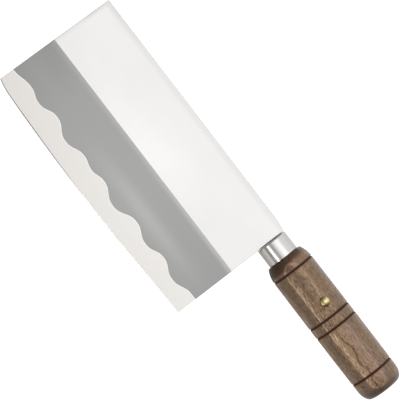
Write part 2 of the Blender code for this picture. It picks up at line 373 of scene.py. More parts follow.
RIVET_POINTS = node_points("rivet")
RIVET_X = (min(p.x for p in RIVET_POINTS) + max(p.x for p in RIVET_POINTS)) / 2
RIVET_Y = (min(p.y for p in RIVET_POINTS) + max(p.y for p in RIVET_POINTS)) / 2
RIVET_HEAD_RADIUS = max(p.x for p in RIVET_POINTS) - RIVET_X
RIVET_TOP = max(p.z for p in RIVET_POINTS)
RIVET_HEAD_BASE = min(
    p.z for p in RIVET_POINTS if p.z > 0 and p.x - RIVET_X > RIVET_SHANK_RADIUS + FACET_TOLERANCE
)


def linear(red, green, blue):
    """A colour as a screen shows it, from 0 to 255, in the linear numbers that shaders take."""
    channels = []
    for value in (red, green, blue):
        share = value / 255
        if share <= 0.04045:
            channels.append(share / 12.92)
        else:
            channels.append(((share + 0.055) / 1.055) ** 2.4)
    return (*channels, 1.0)


def grey(value):
    return (value, value, value, 1.0)


class Nodes:
    """The nodes of a material or of the world, and short calls that lay them out."""

    def __init__(self, owner):
        owner.use_nodes = True
        self.owner = owner
        self.tree = owner.node_tree
        self.tree.nodes.clear()
        self.colour = None

    def add(self, kind, inputs, **settings):
        """A node with its settings, each input linked to a socket or set to a value."""
        node = self.tree.nodes.new(kind)
        for key, value in settings.items():
            setattr(node, key, value)
        for key, value in inputs.items():
            self.give(node.inputs[key], value)
        return node

    def give(self, socket, value):
        if isinstance(value, bpy.types.NodeSocket):
            self.tree.links.new(value, socket)
        else:
            socket.default_value = value

    def held(self, name, output="Fac"):
        """What the mesh holds at each point under this name, as a number or a vector."""
        return self.add("ShaderNodeAttribute", {}, attribute_name=name).outputs[output]

    def place(self):
        """The point in the knife's own axes, in millimetres."""
        return self.scaled(self.held("knife_axes", "Vector"), (MM, MM, MM))

    def scaled(self, vector, factors):
        inputs = {0: vector, 1: factors}
        return self.add("ShaderNodeVectorMath", inputs, operation="MULTIPLY").outputs[0]

    def shifted(self, vector, offset):
        inputs = {0: vector, 1: offset}
        return self.add("ShaderNodeVectorMath", inputs, operation="ADD").outputs[0]

    def parts(self, vector):
        split = self.add("ShaderNodeSeparateXYZ", {0: vector})
        return split.outputs[0], split.outputs[1], split.outputs[2]

    def math(self, operation, first, second=0.0):
        return self.add("ShaderNodeMath", {0: first, 1: second}, operation=operation).outputs[0]

    def plus(self, first, second):
        return self.math("ADD", first, second)

    def minus(self, first, second):
        return self.math("SUBTRACT", first, second)

    def times(self, first, second):
        return self.math("MULTIPLY", first, second)

    def sum_of_squares(self, first, second):
        return self.plus(self.math("POWER", first, 2.0), self.math("POWER", second, 2.0))

    def step(self, value, start, end, low=0.0, high=1.0):
        """A smooth change from low to high as the value goes from start to end."""
        inputs = {0: value, 1: start, 2: end, 3: low, 4: high}
        node = self.add("ShaderNodeMapRange", inputs, interpolation_type="SMOOTHSTEP")
        return node.outputs[0]

    def slope(self, value, start, end, low=0.0, high=1.0):
        """A straight change from low to high as the value goes from start to end."""
        return self.add("ShaderNodeMapRange", {0: value, 1: start, 2: end, 3: low, 4: high}).outputs[0]

    def near(self, value, centre, half_width):
        """1 where the value is at the centre, falling smoothly to 0 at half_width from it."""
        return self.step(self.math("ABSOLUTE", self.minus(value, centre)), half_width, 0.0)

    def noise(self, vector, per_unit, detail=3.0, roughness=0.55):
        """Noise with about this many grains for each unit of the vector, along its three axes."""
        stretched = self.scaled(vector, per_unit)
        inputs = {"Vector": stretched, "Scale": 1.0, "Detail": detail, "Roughness": roughness}
        return self.add("ShaderNodeTexNoise", inputs).outputs[0]

    def spread(self, noise_value, low, high):
        """Takes noise from the range that it mostly fills to the range from low to high."""
        return self.slope(noise_value, *NOISE_RANGE, low, high)

    def mix(self, share, first, second):
        inputs = {0: share, 6: first, 7: second}
        return self.add("ShaderNodeMix", inputs, data_type="RGBA").outputs[2]

    def lay(self, share, colour):
        """Lays a colour over the one so far, as strongly as its share."""
        self.colour = self.mix(share, self.colour, colour)

    def ramp(self, value, stops, interpolation="LINEAR"):
        node = self.add("ShaderNodeValToRGB", {0: value})
        ramp = node.color_ramp
        ramp.interpolation = interpolation
        while len(ramp.elements) < len(stops):
            ramp.elements.new(0.5)
        for element, (position, colour) in zip(ramp.elements, stops):
            element.position = position
            element.color = colour
        return node.outputs[0]

    def bump(self, height, depth):
        inputs = {"Height": height, "Distance": depth, "Strength": 1.0}
        return self.add("ShaderNodeBump", inputs).outputs[0]

    def finish(self, inputs):
        """Ends the tree in one Principled shader with the colour so far and these inputs."""
        shader = self.add("ShaderNodeBsdfPrincipled", {"Base Color": self.colour, **inputs})
        self.add("ShaderNodeOutputMaterial", {0: shader.outputs[0]})
        return self.owner

    def finish_metal(self, roughness, marks, depth):
        inputs = {"Metallic": 1.0, "Roughness": roughness, "Normal": self.bump(marks, depth)}
        return self.finish(inputs)


def new_material(name):
    return Nodes(bpy.data.materials.new(name))


def cheek_steel():
    """Polished cheek, with the faint lines of a belt that ran from the spine to the edge, and painted
    shade that darkens it along the spine.
    """
    nodes = new_material("polished_cheek")
    place = nodes.place()
    x, y, _ = nodes.parts(place)
    lines = nodes.noise(place, (7.0, 0.02, 0.02), 4.0)
    clouds = nodes.noise(place, (0.02, 0.05, 0.05), 2.0)
    # Painted shade: darker towards the spine
    nodes.colour = nodes.mix(nodes.step(y, 3.0, 9.0), CHEEK_STEEL, CHEEK_TOP_SHADE_STEEL)
    bright_patch = nodes.times(nodes.near(x, -84.0, 62.0), nodes.step(y, 0.0, -24.0))
    nodes.lay(bright_patch, CHEEK_BRIGHT_STEEL)
    # Painted shade: a darker strip along the spine, stronger towards the front
    from_spine = nodes.plus(nodes.times(nodes.held("below_bevel"), MM), BEVEL_BELOW_SPINE * MM)
    spine_shade_share = nodes.slope(x, -160.0, -115.0, 0.90, 0.55)
    nodes.lay(nodes.times(nodes.step(from_spine, 4.6, 0.8), spine_shade_share), CHEEK_SPINE_SHADE_STEEL)
    lean = nodes.slope(y, *FRONT_END_HEIGHTS, 0.0, FRONT_LEAN * MM)
    from_front = nodes.plus(nodes.plus(x, lean), BLADE_LENGTH * MM)
    front_share = nodes.step(y, -11.0, -2.0, 0.30, 0.70)
    nodes.lay(nodes.times(nodes.step(from_front, 3.5, 0.4), front_share), grey(0.580))
    nodes.lay(nodes.spread(lines, 0.0, 0.04), grey(0.55))
    roughness = nodes.plus(nodes.spread(clouds, 0.15, 0.21), nodes.spread(lines, -0.02, 0.03))
    return nodes.finish_metal(roughness, lines, POLISH_MARKS)


def band_steel():
    """Matt band between the bevel line and the wave, clouded lengthwise."""
    nodes = new_material("matt_band")
    place = nodes.place()
    x, y, _ = nodes.parts(place)
    grain = nodes.noise(place, (3.0, 3.0, 3.0))
    clouds = nodes.noise(place, (0.02, 0.12, 0.12))
    tones = [(position, grey(tone)) for position, tone in BAND_TONES]
    nodes.colour = nodes.ramp(nodes.slope(x, BLADE_FRONT, 0.0), tones)
    nodes.lay(nodes.spread(clouds, 0.0, 0.25), grey(0.49))
    bright_streak = nodes.times(nodes.near(y, -48.5, 8.0), nodes.near(x, -60.0, 66.0))
    nodes.lay(nodes.times(bright_streak, 0.80), grey(0.565))
    next_to_bevel = nodes.step(nodes.held("below_bevel"), BEVEL_GLOW_WIDTH, 0.0)
    glow_share = nodes.slope(x, -170.0, -40.0, 0.30, 0.85)
    nodes.lay(nodes.times(next_to_bevel, glow_share), grey(0.62))
    next_to_wave = nodes.step(nodes.held("above_wave"), WAVE_SHADE_WIDTH, 0.0, 0.0, 0.45)
    nodes.lay(next_to_wave, WAVE_SHADE_STEEL)
    return nodes.finish_metal(nodes.spread(grain, 0.50, 0.60), grain, MATT_GRAIN)


def strip_steel():
    """Polished strip between the wave and the cutting edge."""
    nodes = new_material("polished_strip")
    place = nodes.place()
    x, _, _ = nodes.parts(place)
    lines = nodes.noise(place, (0.03, 7.0, 7.0), 4.0)
    nodes.colour = nodes.mix(nodes.slope(x, -170.0, -60.0), STRIP_FRONT_STEEL, STRIP_REAR_STEEL)
    halo = nodes.step(nodes.held("above_wave"), *HALO_SPAN, 0.0, 0.6)
    nodes.lay(halo, grey(0.94))
    return nodes.finish_metal(nodes.spread(lines, 0.16, 0.22), lines, POLISH_MARKS)


def edge_steel():
    """The honed edge bevel, coarser towards the front."""
    nodes = new_material("honed_edge")
    place = nodes.place()
    x, _, _ = nodes.parts(place)
    lines = nodes.noise(place, (5.0, 0.5, 0.5), 2.0)
    tones = [(position, grey(tone)) for position, tone in EDGE_TONES]
    nodes.colour = nodes.ramp(nodes.slope(x, BLADE_FRONT, 0.0), tones)
    fine = nodes.step(x, -115.0, -70.0)
    streaks = nodes.times(lines, nodes.slope(fine, 0.0, 1.0, 1.0, 0.3))
    return nodes.finish_metal(nodes.slope(streaks, 0.0, 0.7, 0.30, 0.38), streaks, HONING_MARKS)


def ground_steel():
    """Spine, front end, heel and tang, left from the grinding wheel."""
    nodes = new_material("ground_steel")
    lines = nodes.noise(nodes.place(), (0.3, 0.3, 12.0))
    nodes.colour = nodes.mix(nodes.spread(lines, 0.0, 1.0), grey(0.46), grey(0.58))
    return nodes.finish_metal(nodes.spread(lines, 0.28, 0.40), lines, GRINDING_MARKS)


def ferrule_steel():
    """Drawn steel, with faint lines along the sleeve and patches that are rubbed duller."""
    nodes = new_material("drawn_ferrule")
    place = nodes.place()
    lines = nodes.noise(place, (0.05, 5.0, 5.0))
    rub = nodes.noise(place, (0.25, 0.5, 0.5))
    nodes.colour = nodes.mix(nodes.spread(lines, 0.0, 1.0), FERRULE_DARK_STEEL, FERRULE_LIGHT_STEEL)
    roughness = nodes.plus(nodes.spread(rub, 0.17, 0.24), nodes.spread(lines, 0.0, 0.03))
    return nodes.finish_metal(roughness, lines, DRAWING_MARKS)


def dark_resin():
    """Filler cast round the tang, matt and a little dusty."""
    nodes = new_material("dark_resin")
    lumps = nodes.noise(nodes.place(), (2.0, 2.0, 2.0))
    nodes.colour = nodes.mix(lumps, grey(0.012), RESIN_DUST)
    inputs = {"Roughness": nodes.spread(lumps, 0.45, 0.65), "Normal": nodes.bump(lumps, RESIN_LUMPS)}
    return nodes.finish(inputs)


def rivet_brass():
    """Peened brass in rubbed and dull patches, with painted shade at its sides along the handle and
    over its bottom, and a painted reflection that pales its rim.
    """
    nodes = new_material("peened_brass")
    place = nodes.place()
    x, y, _ = nodes.parts(place)
    rub = nodes.noise(place, (1.1, 1.1, 1.1))
    nodes.colour = nodes.mix(nodes.slope(rub, 0.35, 0.65), DULL_BRASS, BRIGHT_BRASS)
    across = nodes.minus(x, RIVET_X * MM)
    upwards = nodes.minus(y, RIVET_Y * MM)
    # Painted shade: outside a middle band, the dome is darker where it reflects the room's dark ends
    rubbed = nodes.near(across, 0.3, 1.9)
    nodes.lay(nodes.slope(rubbed, 0.0, 0.8, 0.80, 0.0), SHADED_BRASS)
    # Painted shade: darker over the dome's bottom, where it would reflect the strip light
    lower = nodes.step(upwards, -0.4, -1.8)
    nodes.lay(nodes.times(lower, 0.55), SHADED_BRASS)
    # Painted reflection: paler towards the rim
    nodes.lay(nodes.step(nodes.sum_of_squares(across, upwards), 4.6, 7.6, 0.0, 0.9), RIM_REFLECTION_BRASS)
    roughness = nodes.plus(nodes.spread(rub, 0.12, 0.24), nodes.times(lower, 0.15))
    return nodes.finish_metal(roughness, rub, BRASS_DENTS)


def groove_places():
    return [
        WOOD_FRONT + FRONT_GROOVE_INSET,
        WOOD_FRONT + GROOVE_PAIR_CENTRE - GROOVE_PAIR_SPACING / 2,
        WOOD_FRONT + GROOVE_PAIR_CENTRE + GROOVE_PAIR_SPACING / 2,
        WOOD_BACK - BUTT_GROOVE_INSET,
    ]


class WoodNodes(Nodes):
    """The nodes of the handle's wood, with the places, noises and rings that its layers share."""

    def __init__(self, owner):
        super().__init__(owner)
        place = self.place()
        self.x, self.y, self.z = self.parts(place)
        sway_noise = self.noise(place, (0.045, 0.10, 0.10), 2.0)
        self.sway = self.slope(sway_noise, 0.25, 0.75, -FIBRE_SWAY, FIBRE_SWAY)
        sideways = self.add("ShaderNodeCombineXYZ", {1: self.sway, 2: self.sway}).outputs[0]
        swayed = self.shifted(place, sideways)
        self.clouds = self.noise(swayed, (0.045, 0.15, 0.15), 2.0)
        self.stripes = self.noise(swayed, (0.055, 0.55, 0.55), 3.0, 0.6)
        self.fibres = self.noise(swayed, (0.27, 2.3, 2.3), 3.0, 0.65)
        self.flecks = self.noise(swayed, (0.70, 2.8, 2.8), 2.0, 0.6)
        self.pores = self.noise(swayed, (0.40, 3.0, 3.0), 0.0)
        wander_noise = self.noise(place, (0.07, 0.12, 0.12))
        wander = self.slope(wander_noise, 0.25, 0.75, -RING_WANDER / 2, RING_WANDER / 2)
        self.growth = self.plus(self.minus(self.from_pith(), RING_BORDER), wander)
        self.ring = self.math("FRACT", self.math("DIVIDE", self.growth, RING_SPACING))
        self.border = self.near(self.growth, 0.0, BORDER_HALF_WIDTH)
        self.broken = self.slope(self.fibres, 0.42, 0.56, 0.10, 1.0)
        self.ragged = self.spread(self.fibres, -1.0, 1.0)
        self.from_front = self.minus(self.x, WOOD_FRONT * MM)
        self.from_back = self.minus(WOOD_BACK * MM, self.x)

    def from_pith(self):
        """Distance from the heart of the tree, which runs along the handle, below it."""
        across = self.minus(self.y, PITH_ACROSS)
        upwards = self.plus(self.z, PITH_BELOW)
        return self.math("SQRT", self.sum_of_squares(across, upwards))

    def above_dark_line(self):
        """Height above the dark line that meanders along the rear of the handle."""
        first, last = DARK_LINE_SPAN
        low, high = DARK_LINE_HEIGHTS
        stops = []
        for along, height in DARK_LINE_TURNS:
            stops.append(((along - first) / (last - first), grey((height - low) / (high - low))))
        line = self.ramp(self.slope(self.x, first, last), stops, "EASE")
        return self.minus(self.y, self.slope(line, 0.0, 1.0, low, high))

    def to_groove(self):
        """Distance along the handle to the nearest groove."""
        nearest = None
        for groove in groove_places():
            distance = self.math("ABSOLUTE", self.minus(self.x, groove * MM))
            nearest = distance if nearest is None else self.math("MINIMUM", nearest, distance)
        return nearest

    def patch(self, middle, height, half_length, half_height, strength):
        """The strength at a patch's middle, falling smoothly to 0 at its border."""
        along = self.near(self.x, middle, half_length)
        return self.times(self.times(along, self.near(self.y, height, half_height)), strength)


def lay_figure(wood):
    """Rings, stripes, fibres and flecks, calm on the spine side and lively on the edge side."""
    brown = wood.step(wood.clouds, 0.42, 0.58)
    wood.colour = wood.mix(brown, linear(126, 101, 63), linear(146, 106, 72))
    wood.lay(wood.step(wood.ring, 0.20, 0.95, 0.0, 0.50), linear(88, 66, 42))
    wood.lay(wood.step(wood.ring, 0.17, 0.02, 0.0, 0.45), linear(176, 142, 114))
    wood.lay(wood.slope(wood.stripes, 0.50, 0.70, 0.0, 0.60), linear(174, 134, 94))
    wood.lay(wood.slope(wood.stripes, 0.50, 0.32, 0.0, 0.50), linear(86, 60, 38))
    wood.lay(wood.slope(wood.fibres, 0.51, 0.65, 0.0, 0.75), linear(186, 148, 114))
    wood.lay(wood.slope(wood.fibres, 0.49, 0.35, 0.0, 0.85), linear(72, 47, 30))
    wood.lay(wood.slope(wood.flecks, 0.52, 0.68, 0.0, 0.60), linear(178, 144, 110))
    wood.lay(wood.slope(wood.flecks, 0.46, 0.32, 0.0, 0.35), linear(92, 58, 40))
    wood.lay(wood.step(wood.y, 0.5, 6.0, 0.0, 0.35), linear(130, 100, 70))
    lively = wood.step(wood.y, 2.0, -3.0)
    bright_fleck = wood.slope(wood.flecks, 0.53, 0.62, 0.0, 0.45)
    wood.lay(wood.times(bright_fleck, lively), linear(196, 158, 116))
    dark_fleck = wood.slope(wood.flecks, 0.45, 0.36, 0.0, 0.45)
    wood.lay(wood.times(dark_fleck, lively), linear(74, 48, 32))


def lay_streaks(wood):
    """Pale core, painted shade along the edge side, ring borders, and the streaks and patches along
    the handle, one of them partly a painted highlight.
    """
    behind_pair = wood.step(wood.x, PALE_REAR, PALE_REAR + 6.0)
    rear_core = wood.step(wood.x, 101.0, 95.0, 0.084, 0.42)
    core_share = wood.slope(behind_pair, 0.0, 1.0, 0.18, rear_core)
    core_middle = wood.slope(behind_pair, 0.0, 1.0, PALE_CORE, 0.0)
    from_core = wood.math("ABSOLUTE", wood.minus(wood.y, core_middle))
    wood.lay(wood.times(wood.step(from_core, 7.5, 0.5), core_share), linear(194, 154, 118))
    # Painted shade along the handle's edge side, stronger towards the front
    shaded = wood.near(wood.plus(wood.y, wood.sway), SHADED_SIDE, 4.2)
    wood.lay(wood.times(shaded, wood.slope(wood.x, 40.0, 60.0, 0.70, 0.58)), linear(84, 62, 36))
    pink = wood.times(wood.near(wood.y, PINK_STREAK, 5.0), behind_pair)
    wood.lay(wood.times(pink, 0.35), linear(164, 136, 126))
    wood.lay(wood.patch(*DARK_STREAK), linear(92, 66, 48))
    wood.lay(wood.patch(*FAINT_PATCH), linear(92, 66, 48))
    border = wood.times(wood.border, wood.slope(wood.y, 3.0, -3.0, 0.40, 1.0))
    wood.lay(wood.times(border, wood.broken), linear(206, 172, 140))
    wood.lay(wood.patch(*TAN_PATCH), linear(168, 136, 86))
    wood.lay(wood.times(wood.patch(*PALE_PATCH), wood.broken), linear(206, 176, 148))
    # A pale streak under the varnish's highlight from the strip light: partly paler wood, partly a
    # painted highlight, broken by the fibres
    swung = wood.plus(wood.y, wood.times(wood.sway, 0.8))
    pale_highlight_streak = wood.times(wood.near(swung, PALE_HIGHLIGHT_STREAK, 1.7), behind_pair)
    pale_highlight_streak = wood.times(pale_highlight_streak, wood.step(wood.x, 100.0, 94.0))
    wood.lay(wood.times(pale_highlight_streak, wood.broken), linear(226, 190, 148))
    from_line = wood.plus(wood.above_dark_line(), wood.times(wood.ragged, 0.45))
    line_start = DARK_LINE_TURNS[0][0]
    line = wood.near(from_line, 0.0, DARK_LINE_HALF_WIDTH)
    line = wood.times(line, wood.step(wood.x, line_start, line_start + 2.0))
    line = wood.times(line, wood.slope(wood.flecks, 0.40, 0.60, 1.0, 0.45))
    wood.lay(line, linear(66, 42, 26))


def lay_stains(wood, front_stain_and_shade):
    """Ends darkened by stain and by painted shade, with the arcs of the rings that show through, and
    the patches near them.
    """
    wood.lay(wood.patch(*DARK_PATCH), linear(72, 44, 32))
    wood.lay(wood.patch(*BUTT_PATCH), linear(84, 60, 40))
    # Stain and painted shade on the shoulder by the ferrule
    wood.lay(front_stain_and_shade, linear(44, 29, 15))
    wood.lay(wood.patch(*RED_PATCH), linear(108, 60, 42))
    arc = wood.times(wood.border, wood.step(wood.from_front, 9.0, 7.0))
    wood.lay(wood.times(arc, 0.40), linear(164, 134, 110))
    # The butt's round darkens: part stain, part painted shade where it turns away from the light,
    # reaching further on the edge side
    into_butt = wood.minus(wood.slope(wood.y, 2.0, -6.0, *BUTT_STAIN_AND_SHADE), wood.from_back)
    butt_stain_and_shade = wood.step(wood.plus(into_butt, wood.ragged), -2.0, 2.5, 0.0, 0.60)
    wood.lay(butt_stain_and_shade, linear(60, 40, 24))
    # Darker end grain towards the butt's end, with painted shade
    end_grain_and_shade = wood.step(wood.minus(wood.from_back, wood.ragged), 6.5, 2.0, 0.0, 0.65)
    wood.lay(end_grain_and_shade, linear(66, 50, 34))


def walnut():
    """Open-grained wood: growth rings, lengthwise fibres, pores, burnt grooves and thin varnish."""
    wood = WoodNodes(bpy.data.materials.new("turned_walnut"))
    lay_figure(wood)
    lay_streaks(wood)
    pore = wood.times(wood.step(wood.pores, 0.60, 0.68), wood.slope(wood.ring, 0.0, 1.0, 1.0, 0.5))
    wood.lay(wood.times(pore, 0.70), linear(54, 34, 22))

    # The shoulder by the ferrule darkens: part stain, part painted shade where it turns away from the
    # light, weaker at the top and stronger on the edge side
    into_front = wood.minus(wood.slope(wood.y, 4.0, -8.0, *FRONT_STAIN_AND_SHADE), wood.from_front)
    front_stain_and_shade = wood.step(wood.plus(into_front, wood.ragged), -1.5, 1.5)
    front_stain_and_shade = wood.times(front_stain_and_shade, wood.slope(wood.y, 0.0, -6.0, 0.76, 0.88))
    front_stain_and_shade = wood.times(front_stain_and_shade, wood.step(wood.y, 10.5, 8.5, 0.5, 1.0))
    front_stain_and_shade = wood.times(front_stain_and_shade, wood.step(wood.y, -6.5, -10.0, 1.0, 0.87))
    lay_stains(wood, front_stain_and_shade)

    to_groove = wood.to_groove()
    burn = wood.step(to_groove, 0.95, 0.40)
    wood.lay(wood.step(to_groove, 1.8, 0.6, 0.0, 0.30), linear(74, 48, 30))
    wood.lay(burn, linear(68, 39, 20))

    height = wood.plus(wood.times(wood.fibres, 0.6), wood.times(wood.stripes, 0.5))
    height = wood.minus(height, wood.times(pore, 0.7))
    varnish = wood.slope(burn, 0.0, 1.0, 0.90, 0.15)
    inputs = {
        "Roughness": wood.plus(wood.spread(wood.fibres, 0.50, 0.38), wood.times(burn, 0.35)),
        "Specular IOR Level": 0.16,
        "Normal": wood.bump(height, WOOD_RELIEF),
        "Coat Weight": wood.times(varnish, wood.slope(front_stain_and_shade, 0.0, 0.8, 1.0, 0.30)),
        "Coat Roughness": 0.20,
        "Coat Normal": wood.bump(height, VARNISH_RELIEF),
    }
    return wood.finish(inputs)


def spaced(start, end, count):
    """Values from start to end in equal steps, both included."""
    return [start + (end - start) * step / count for step in range(count + 1)]


def quarter_turns(start, end, steps=ARC_STEPS):
    """Angles from start to end in quarter turns, both ends included."""
    return [math.pi / 2 * share for share in spaced(start, end, steps)]


def spine_line(x):
    """The straight line that the spine follows, which climbs slightly towards the front."""
    return SPINE_ABOVE_AXIS + SPINE_CLIMB * -x / BLADE_LENGTH


def spine_height(x):
    """The spine with its smooth drop at the heel."""
    into_drop = max(0.0, 1 + x / HEEL_DROP_LENGTH)
    return spine_line(x) - HEEL_DROP * into_drop**2


def edge_height(x):
    """The cutting edge: it rises from its belly to the heel and to the front corner."""
    ahead = -x - BELLY_FROM_HEEL
    if ahead < 0:
        rise = HEEL_RISE * (1 - math.cos(math.pi * ahead / BELLY_FROM_HEEL)) / 2
    else:
        rise = FRONT_RISE * (ahead / (BLADE_LENGTH - BELLY_FROM_HEEL)) ** 2
    into_ease = max(0.0, 1 - (BLADE_LENGTH + x) / TIP_EASE_LENGTH)
    return spine_line(x) - BLADE_HEIGHT + rise + TIP_EASE_RISE * into_ease**2


def blade_point(x, y, z):
    """Shears a point forward with its depth, so that the front end leans as the real one."""
    lean = FRONT_LEAN * (spine_line(x) - y) / BLADE_HEIGHT
    return Vector((x * (1 + lean / BLADE_LENGTH), y, z))


def wave_at(x):
    """Height of the wave at a true distance from the heel, eased between its turns."""
    for (x_before, before), (x_after, after) in zip(WAVE_TURNS, WAVE_TURNS[1:]):
        if x < x_after or x_after == WAVE_TURNS[-1][0]:
            share = min(1.0, max(0.0, (x - x_before) / (x_after - x_before)))
            return before + (after - before) * share**3 * (share * (share * 6 - 15) + 10)


def wave_height(x):
    """Height of the wave on the leaning column that starts at x on the spine."""
    height = WAVE_TURNS[0][1]
    for _ in range(WAVE_ROUNDS):
        height = wave_at(blade_point(x, height, 0.0).x)
    return height


# Finishes of the blade, in the order of its materials
CHEEK, BAND, STRIP, EDGE, GROUND = range(5)


def left_side(x):
    """One cross-section's left side from the spine's middle to the edge.

    Each row is its height, its half thickness and the finish of what follows it.
    """
    spine = spine_height(x)
    bevel = spine_line(x) - BEVEL_BELOW_SPINE
    wave = wave_height(x)
    edge = edge_height(x)
    cheek = SPINE_THICKNESS / 2
    rows = [(spine, 0.0, GROUND)]
    for angle in quarter_turns(0, 1, EASE_STEPS)[:-1]:
        drop = SPINE_EASE * (1 - math.cos(angle))
        rows.append((spine - drop, cheek - SPINE_EASE * (1 - math.sin(angle)), GROUND))
    for y in spaced(spine - SPINE_EASE, bevel + BEVEL_SOFTNESS, CHEEK_ROWS):
        rows.append((y, cheek, CHEEK))
    slim = (cheek - EDGE_THICKNESS / 2) / (bevel - edge - EDGE_BEVEL)
    rows.append((bevel, cheek, BAND))
    for y in spaced(bevel - BEVEL_SOFTNESS, wave + WAVE_EASE, BAND_ROWS):
        rows.append((y, cheek - slim * (bevel - y), BAND))
    rows.append((wave, cheek - slim * (bevel - wave), STRIP))
    for y in spaced(wave - WAVE_EASE, edge + EDGE_BEVEL, STRIP_ROWS):
        rows.append((y, cheek - slim * (bevel - y), STRIP))
    rows[-1] = (*rows[-1][:2], EDGE)
    rows.append((edge, 0.0, EDGE))
    return rows


def blade_ring(x, inset):
    """A closed cross-section, drawn in a little where the blade's ends are eased."""
    left = []
    slim = 1 - 2 * inset / SPINE_THICKNESS
    for y, z, _ in left_side(x):
        left.append(blade_point(x, y, z * slim))
    left[0].y -= inset
    right = [Vector((point.x, point.y, -point.z)) for point in reversed(left[1:-1])]
    return left + right


def blade_shape():
    """Skins the cross-sections from the front end to the heel, each strip with its finish."""
    shape = bmesh.new()
    ends = [
        (END_EASE * (1 - math.cos(angle)), END_EASE * (1 - math.sin(angle)))
        for angle in quarter_turns(0, 1, END_EASE_STEPS)
    ]
    columns = [(-BLADE_LENGTH + along, inset) for along, inset in ends]
    count = round((BLADE_LENGTH - 2 * END_EASE) / BLADE_COLUMN)
    columns += [(x, 0.0) for x in spaced(-BLADE_LENGTH + END_EASE, -END_EASE, count)[1:-1]]
    columns += [(-along, inset) for along, inset in reversed(ends)]
    left = [row[2] for row in left_side(-BLADE_LENGTH / 2)][:-1]
    finishes = left + list(reversed(left))
    rings = [[shape.verts.new(point) for point in blade_ring(x, inset)] for x, inset in columns]
    for ring, following in zip(rings, rings[1:]):
        for index, finish in enumerate(finishes):
            after = (index + 1) % len(ring)
            face = shape.faces.new((ring[index], ring[after], following[after], following[index]))
            face.material_index = finish
    for ring in (rings[0], rings[-1]):
        shape.faces.new(ring).material_index = GROUND
    return shape


def tang_height(x):
    """Height of the tapering tang at a distance behind the heel."""
    root = TANG_TOP - TANG_BOTTOM
    return root + (TANG_END_HEIGHT - root) * x / (RIVET_X + TANG_BEHIND_RIVET)


def tang_shape(start, grow):
    """The tang from start to its round end, grown on all sides by grow."""
    straight_end = RIVET_X + TANG_BEHIND_RIVET - TANG_END_HEIGHT / 2
    radius = tang_height(straight_end) / 2
    centre = TANG_TOP - radius
    reach = radius + grow
    outline = [(start, TANG_TOP + grow)]
    for angle in quarter_turns(1, -1):
        outline.append((straight_end + reach * math.cos(angle), centre + reach * math.sin(angle)))
    outline.append((start, TANG_TOP - tang_height(start) - grow))
    half = TANG_THICKNESS / 2 + grow
    shape = bmesh.new()
    near, far = [[shape.verts.new((x, y, z)) for x, y in outline] for z in (-half, half)]
    for index in range(len(outline)):
        after = (index + 1) % len(outline)
        shape.faces.new((near[index], near[after], far[after], far[index]))
    shape.faces.new(near)
    shape.faces.new(far)
    for face in shape.faces:
        face.material_index = GROUND
    return shape


def turn(profile, axis, segments):
    """Turns a profile of (place along the axis, radius) points about the axis, X or Z.

    A profile that starts off the axis is joined to its own start, as a ring.
    """
    shape = bmesh.new()
    rings = []
    for along, radius in profile:
        ring = []
        for angle in spaced(0.0, math.tau, segments if radius > 0 else 1)[:-1]:
            side = radius * math.sin(angle)
            ahead = radius * math.cos(angle)
            place = (along, side, ahead) if axis == "X" else (ahead, side, along)
            ring.append(shape.verts.new(place))
        rings.append(ring)
    if profile[0][1] > 0:
        rings.append(rings[0])
    for ring, following in zip(rings, rings[1:]):
        for index in range(segments):
            corners = [ring[step % len(ring)] for step in (index, index + 1)]
            corners += [following[step % len(following)] for step in (index + 1, index)]
            shape.faces.new(dict.fromkeys(corners))
    return shape


def ferrule_profile():
    """A sleeve whose outer edge is rounded at both ends, and whose bore is eased."""
    rim = FERRULE_RIM_ROUND
    rounding = [
        (rim * (1 - math.cos(angle)), FERRULE_RADIUS - rim * (1 - math.sin(angle)))
        for angle in quarter_turns(0, 1, EASE_STEPS)
    ]
    ease = FERRULE_BORE_EASE
    front = [(FERRULE_FRONT + ease, FERRULE_BORE), (FERRULE_FRONT, FERRULE_BORE + ease)]
    front += [(FERRULE_FRONT + inset, radius) for inset, radius in rounding[1:]]
    back = [(FERRULE_BACK - inset, radius) for inset, radius in reversed(rounding[1:])]
    back += [(FERRULE_BACK, FERRULE_BORE + ease), (FERRULE_BACK - ease, FERRULE_BORE)]
    return front + back


def fill_profile():
    """The filler's front sags a little between the ferrule and the tang."""
    front = [
        (FILL_FRONT + MENISCUS * math.sin(math.pi * share), TENON_RADIUS * share)
        for share in spaced(0.0, 1.0, ARC_STEPS)
    ]
    return front + [(FILL_BACK, TENON_RADIUS), (FILL_BACK, 0.0)]


def barrel_radius(x):
    """Radius of the handle's barrel, which swells slightly at mid-length."""
    from_middle = (x - (WOOD_FRONT + WOOD_BACK) / 2) / (HANDLE_LENGTH / 2)
    return HANDLE_END_RADIUS + HANDLE_BULGE * (1 - from_middle**2)


def shoulder_radius(x):
    """The front shoulder, an arc that ends along the barrel."""
    depth = barrel_radius(WOOD_FRONT) - SHOULDER_FRONT_RADIUS
    arc_radius = (SHOULDER_LENGTH**2 + depth**2) / (2 * depth)
    ahead = max(0.0, WOOD_FRONT + SHOULDER_LENGTH - x)
    return barrel_radius(x) - arc_radius + math.sqrt(arc_radius**2 - ahead**2)


def groove_cut(x):
    """Depth of the grooves at x: a round bottom between two softened lips."""
    depth = 0.0
    for place in groove_places():
        from_groove = abs(x - place)
        if from_groove < GROOVE_WIDTH / 2:
            depth = GROOVE_DEPTH * math.sqrt(1 - (2 * from_groove / GROOVE_WIDTH) ** 2)
        lip = from_groove / (GROOVE_WIDTH / 2 + GROOVE_LIP)
        if lip < 1:
            depth = max(depth, GROOVE_LIP / 2 * (1 - lip**2))
    return depth


